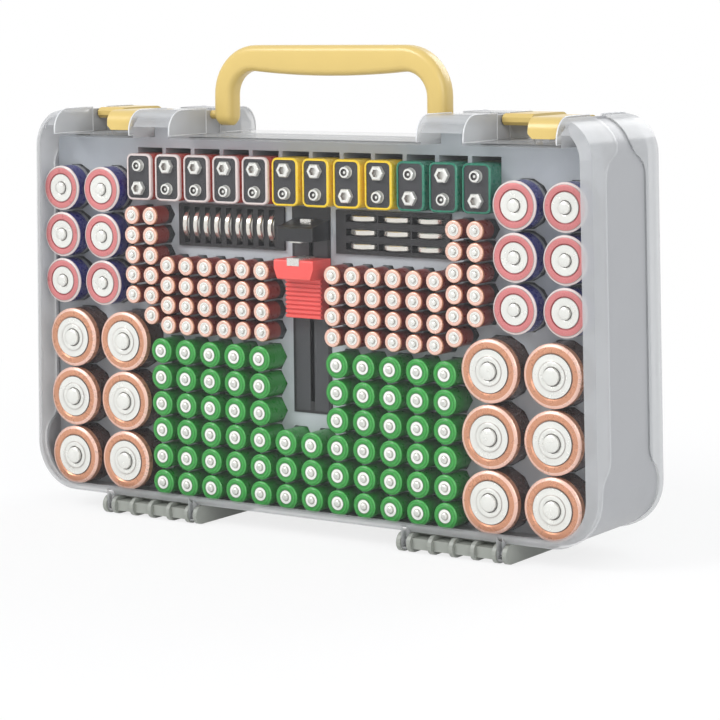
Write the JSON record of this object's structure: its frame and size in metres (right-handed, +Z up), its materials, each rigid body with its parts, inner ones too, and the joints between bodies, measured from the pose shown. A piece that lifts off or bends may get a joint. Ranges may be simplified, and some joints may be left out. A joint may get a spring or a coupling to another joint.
{
  "type": "battery storage case",
  "caption": "Upright carry case with hinged clear lids on both faces, socketed trays for loose battery cells, a folding handle, latches, hinge feet and a cell tester.",
  "frame": {"origin": "middle of the feet's underside, on the surface that the case stands on", "axes": "+Z up, +X to the right seen from the upright-cell side, +Y towards the side with the lying cells"},
  "size_m": [0.373, 0.082, 0.269],
  "materials": {
    "lid": "clear, slightly frosted",
    "frame": "satin",
    "tray": "satin",
    "handle": "satin",
    "latch": "satin",
    "foot": "satin",
    "black": "fine texture",
    "slider": "satin",
    "contact": "plain",
    "steel": "plain"
  },
  "bodies": {
    "case": {"centre_frame": "frame", "front_tray": "tray", "back_tray": "tray", "handle_pin_left": "steel", "handle_pin_right": "steel", "latch_pin_left": "steel", "latch_pin_right": "steel", "hinge_foot_left": "foot", "hinge_foot_right": "foot", "hinge_pin_front_left": "steel", "hinge_pin_front_right": "steel", "hinge_pin_back_left": "steel", "hinge_pin_back_right": "steel", "tester_base": "black", "tester_head": "black", "fixed_contact": "contact", "coin_rack_left": "black", "coin_rack_right": "black"},
    "front_lid": {"front_lid": "lid"},
    "back_lid": {"back_lid": "lid"},
    "handle": {"handle": "handle"},
    "latch_front_left": {"latch_front_left": "latch"},
    "latch_front_right": {"latch_front_right": "latch"},
    "latch_back_left": {"latch_back_left": "latch"},
    "latch_back_right": {"latch_back_right": "latch"},
    "tester_slider": {"tester_slider": "slider", "slider_contact": "contact"}
  },
  "joints": [
    {"name": "front_lid_hinge", "type": "hinge", "parent": "case", "child": "front_lid", "pos_m": [0, -0.0358, 0.0052], "axis": [1, 0, 0], "range_deg": [0, 90]},
    {"name": "back_lid_hinge", "type": "hinge", "parent": "case", "child": "back_lid", "pos_m": [0, 0.0358, 0.0052], "axis": [-1, 0, 0], "range_deg": [0, 90]},
    {"name": "handle_pivot", "type": "hinge", "parent": "case", "child": "handle", "pos_m": [0, 0, 0.2295], "axis": [1, 0, 0], "range_deg": [-90, 90]},
    {"name": "latch_front_left_pivot", "type": "hinge", "parent": "case", "child": "latch_front_left", "pos_m": [-0.1205, 0, 0.2295], "axis": [-1, 0, 0], "range_deg": [0, 100]},
    {"name": "latch_front_right_pivot", "type": "hinge", "parent": "case", "child": "latch_front_right", "pos_m": [0.1555, 0, 0.2295], "axis": [-1, 0, 0], "range_deg": [0, 100]},
    {"name": "latch_back_left_pivot", "type": "hinge", "parent": "case", "child": "latch_back_left", "pos_m": [-0.1555, 0, 0.2295], "axis": [1, 0, 0], "range_deg": [0, 100]},
    {"name": "latch_back_right_pivot", "type": "hinge", "parent": "case", "child": "latch_back_right", "pos_m": [0.1205, 0, 0.2295], "axis": [1, 0, 0], "range_deg": [0, 100]},
    {"name": "tester_slide", "type": "slide", "parent": "case", "child": "tester_slider", "axis": [0, 0, 1], "range_m": [-0.0518, 0.008]}
  ]
}
